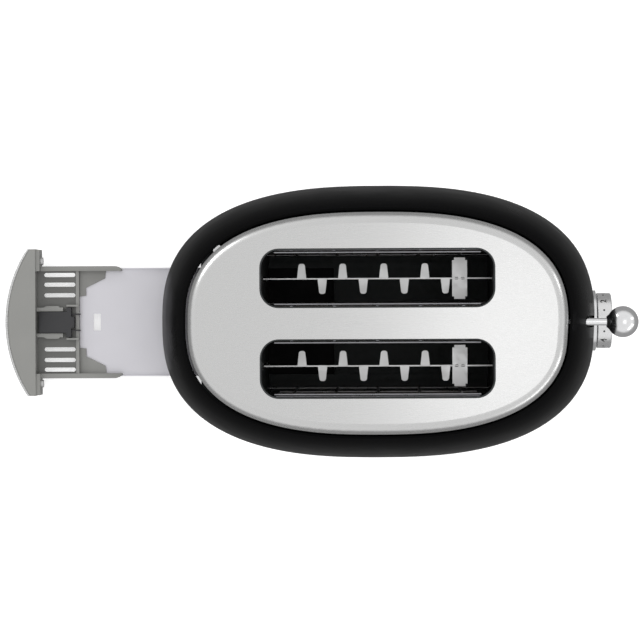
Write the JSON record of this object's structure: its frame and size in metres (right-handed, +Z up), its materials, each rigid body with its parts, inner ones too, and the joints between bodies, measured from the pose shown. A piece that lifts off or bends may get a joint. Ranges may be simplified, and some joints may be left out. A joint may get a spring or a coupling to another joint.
{
  "type": "pop up toaster",
  "caption": "Oval pop up toaster with long bread slots, wire guards, a lever with a ball knob, a browning dial and a crumb tray that slides out at one end.",
  "frame": {"origin": "centre of the body's footprint on the plane that the feet stand on", "axes": "+X towards the lever and dial end, +Y towards the left long side, +Z up"},
  "size_m": [0.4523, 0.1956, 0.198],
  "materials": {
    "black_enamel": "gloss",
    "brushed_steel": "satin",
    "chrome": "polished",
    "frame_steel": "satin",
    "dark_steel": "satin",
    "tray_plastic": "satin",
    "tray_metal": "satin",
    "dark_plastic": "satin",
    "black_rubber": "matte",
    "mica": "matte",
    "heater_strip": "matte",
    "board_green": "satin",
    "copper_winding": "satin",
    "carrier_steel": "satin",
    "wire_steel": "satin",
    "dial_metal": "satin"
  },
  "bodies": {
    "housing": {"base_band": "chrome", "base_plate": "dark_steel", "board_posts": "dark_plastic", "body_shell": "black_enamel", "browning_control": "dark_plastic", "control_board": "board_green", "cord_gland": "black_rubber", "dial_bezel": "chrome", "feet": "black_rubber", "foot_screws": "frame_steel", "front_end_plate": "dark_steel", "guide_rods": "frame_steel", "left_heat_shield": "frame_steel", "left_inner_heater_board": "mica", "left_inner_heater_wire": "heater_strip", "left_outer_heater_board": "mica", "left_outer_heater_wire": "heater_strip", "magnet_coil": "copper_winding", "magnet_core": "frame_steel", "power_contacts": "dark_plastic", "rear_end_plate": "dark_steel", "return_spring": "frame_steel", "right_heat_shield": "frame_steel", "right_inner_heater_board": "mica", "right_inner_heater_wire": "heater_strip", "right_outer_heater_board": "mica", "right_outer_heater_wire": "heater_strip", "slot_liners": "dark_steel", "terminal_block": "dark_plastic", "top_plate": "brushed_steel", "tray_catch": "frame_steel", "upper_brace": "frame_steel"},
    "lever_carriage": {"carriage": "frame_steel", "left_bread_carrier": "carrier_steel", "right_bread_carrier": "carrier_steel", "armature": "frame_steel", "lever_arm": "frame_steel", "lever_rod": "chrome", "lever_neck": "chrome", "lever_knob": "chrome"},
    "dial": {"browning_dial": "dial_metal", "dial_shaft": "frame_steel"},
    "tray": {"tray_frame": "tray_plastic", "tray_front_cover": "brushed_steel", "tray_sheet": "tray_metal", "tray_screws": "brushed_steel"},
    "latch": {"tray_latch": "dark_plastic", "latch_hooks": "dark_plastic"},
    "left_inner_guard_body": {"left_inner_guard": "wire_steel"},
    "left_outer_guard_body": {"left_outer_guard": "wire_steel"},
    "right_inner_guard_body": {"right_inner_guard": "wire_steel"},
    "right_outer_guard_body": {"right_outer_guard": "wire_steel"},
    "cancel_button_body": {"cancel_button": "dark_plastic"},
    "defrost_button_body": {"defrost_button": "dark_plastic"},
    "one_side_button_body": {"one_side_button": "dark_plastic"},
    "reheat_button_body": {"reheat_button": "dark_plastic"}
  },
  "joints": [
    {"name": "carriage_slide", "type": "slide", "parent": "housing", "child": "lever_carriage", "axis": [0, 0, 1], "range_m": [-0.058, 0], "stiffness_N_per_m": 120, "springref_m": 0.06, "deforming": ["return_spring"]},
    {"name": "dial_turn", "type": "hinge", "parent": "housing", "child": "dial", "pos_m": [0.16, 0, 0.054], "axis": [1, 0, 0], "range_deg": [-135, 90]},
    {"name": "tray_slide", "type": "slide", "parent": "housing", "child": "tray", "axis": [1, 0, 0], "range_m": [-0.126, 0.1168]},
    {"name": "tray_latch_slide", "type": "slide", "parent": "tray", "child": "latch", "axis": [1, 0, 0], "range_m": [-0.002, 0], "stiffness_N_per_m": 600, "springref_m": 0.002},
    {"name": "left_inner_guard_tilt", "type": "hinge", "parent": "housing", "child": "left_inner_guard_body", "pos_m": [0, 0.0131, 0.048], "axis": [1, 0, 0], "range_deg": [-5, 0]},
    {"name": "left_outer_guard_tilt", "type": "hinge", "parent": "housing", "child": "left_outer_guard_body", "pos_m": [0, 0.0481, 0.048], "axis": [1, 0, 0], "range_deg": [0, 5]},
    {"name": "right_inner_guard_tilt", "type": "hinge", "parent": "housing", "child": "right_inner_guard_body", "pos_m": [0, -0.0131, 0.048], "axis": [1, 0, 0], "range_deg": [0, 5]},
    {"name": "right_outer_guard_tilt", "type": "hinge", "parent": "housing", "child": "right_outer_guard_body", "pos_m": [0, -0.0481, 0.048], "axis": [1, 0, 0], "range_deg": [-5, 0]},
    {"name": "reheat_button_press", "type": "slide", "parent": "housing", "child": "reheat_button_body", "axis": [-0.9578, -0.2875, 0], "range_m": [0, 0.0012], "stiffness_N_per_m": 800, "springref_m": -0.001},
    {"name": "defrost_button_press", "type": "slide", "parent": "housing", "child": "defrost_button_body", "axis": [-0.8729, -0.4879, 0], "range_m": [0, 0.0012], "stiffness_N_per_m": 800, "springref_m": -0.001},
    {"name": "one_side_button_press", "type": "slide", "parent": "housing", "child": "one_side_button_body", "axis": [-0.9578, 0.2875, 0], "range_m": [0, 0.0012], "stiffness_N_per_m": 800, "springref_m": -0.001},
    {"name": "cancel_button_press", "type": "slide", "parent": "housing", "child": "cancel_button_body", "axis": [-0.8729, 0.4879, 0], "range_m": [0, 0.0012], "stiffness_N_per_m": 800, "springref_m": -0.001}
  ],
  "couplings": [
    {"joint": "left_inner_guard_tilt", "follows": "carriage_slide", "rad_per_m": 1.5046},
    {"joint": "left_outer_guard_tilt", "follows": "carriage_slide", "rad_per_m": -1.5046},
    {"joint": "right_inner_guard_tilt", "follows": "carriage_slide", "rad_per_m": -1.5046},
    {"joint": "right_outer_guard_tilt", "follows": "carriage_slide", "rad_per_m": 1.5046}
  ]
}
